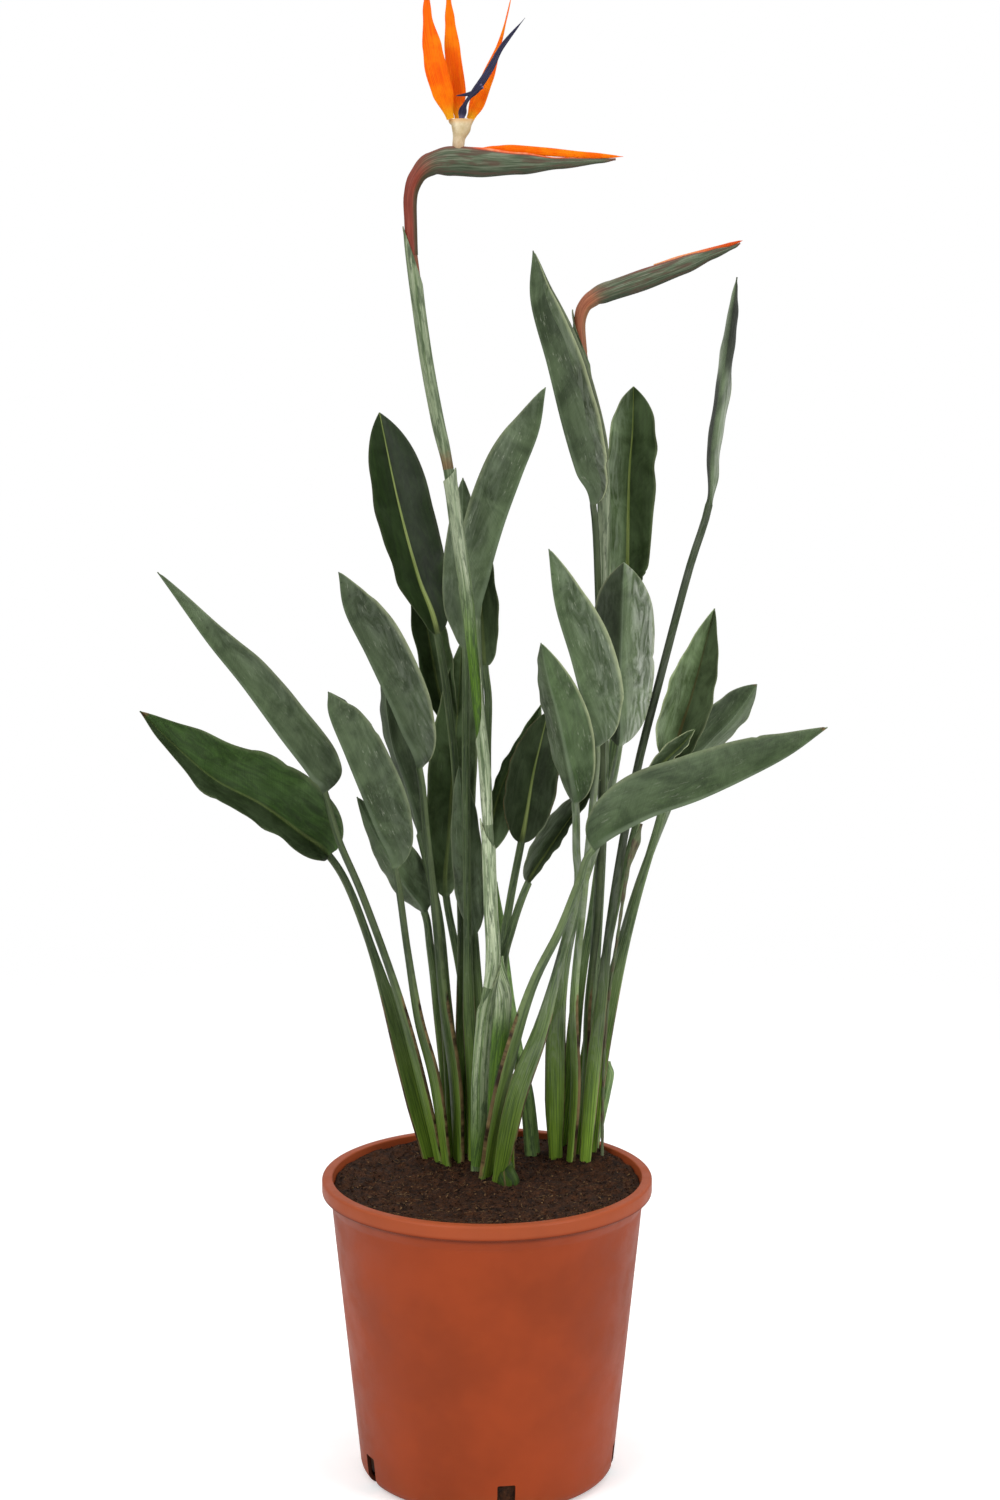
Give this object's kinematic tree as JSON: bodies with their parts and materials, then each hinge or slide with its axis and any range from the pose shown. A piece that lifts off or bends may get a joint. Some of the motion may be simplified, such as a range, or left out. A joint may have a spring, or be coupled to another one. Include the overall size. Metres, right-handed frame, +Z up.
{
  "type": "potted bird of paradise",
  "caption": "Potted Strelitzia reginae: upright paddle leaves on long stalks, an open orange and blue flower and a closed one on bent necks, in a round terracotta-coloured plastic nursery pot.",
  "frame": {"origin": "centre of the pot's flat underside", "axes": "+Z up along the pot axis, +X to the right and -Y towards the viewer, as in the picture"},
  "size_m": [0.5481, 0.28, 1.245],
  "materials": {
    "pot_plastic": "satin",
    "soil": "matte",
    "leaf_face": "satin",
    "leaf_underside": "satin",
    "stem_green": "satin",
    "shoot_green": "satin",
    "sheath_pale": "satin",
    "spathe_green": "satin",
    "sepal_orange": "satin",
    "arrow_blue": "satin",
    "bloom_cream": "satin",
    "dry_brown": "matte"
  },
  "bodies": {
    "root": {"arrow_petal": "arrow_blue", "bloom_base": "bloom_cream", "dried_stalk": "dry_brown", "leaf_centre_back": "leaf_face", "leaf_centre_behind": "leaf_face", "leaf_centre_dark": "leaf_face", "leaf_centre_low": "leaf_face", "leaf_centre_narrow": "leaf_underside", "leaf_centre_reaching": "leaf_face", "leaf_centre_short": "leaf_underside", "leaf_centre_tall": "leaf_underside", "leaf_left_front": "leaf_underside", "leaf_left_high": "leaf_underside", "leaf_left_inner": "leaf_underside", "leaf_left_low": "leaf_face", "leaf_left_middle": "leaf_underside", "leaf_left_shade": "leaf_face", "leaf_left_short": "leaf_underside", "leaf_left_tall": "leaf_face", "leaf_right_back": "leaf_face", "leaf_right_edge_on": "leaf_underside", "leaf_right_far": "leaf_underside", "leaf_right_front": "leaf_underside", "leaf_right_inner": "leaf_underside", "leaf_right_outer": "leaf_face", "leaf_right_pale": "leaf_underside", "leaf_right_rolled": "leaf_face", "leaf_right_tallest": "leaf_underside", "leaf_right_wide": "leaf_underside", "petal_in_closed_spathe": "sepal_orange", "petal_in_open_spathe": "sepal_orange", "pot": "pot_plastic", "sepal_centre": "sepal_orange", "sepal_left": "sepal_orange", "sepal_right": "sepal_orange", "sheath_pale": "sheath_pale", "shoot_behind": "leaf_underside", "shoot_front": "shoot_green", "shoot_side": "shoot_green", "soil": "soil", "spathe_closed_flower": "spathe_green", "spathe_open_flower": "spathe_green", "stem_closed_flower": "stem_green", "stem_open_flower": "stem_green"}
  },
  "joints": []
}
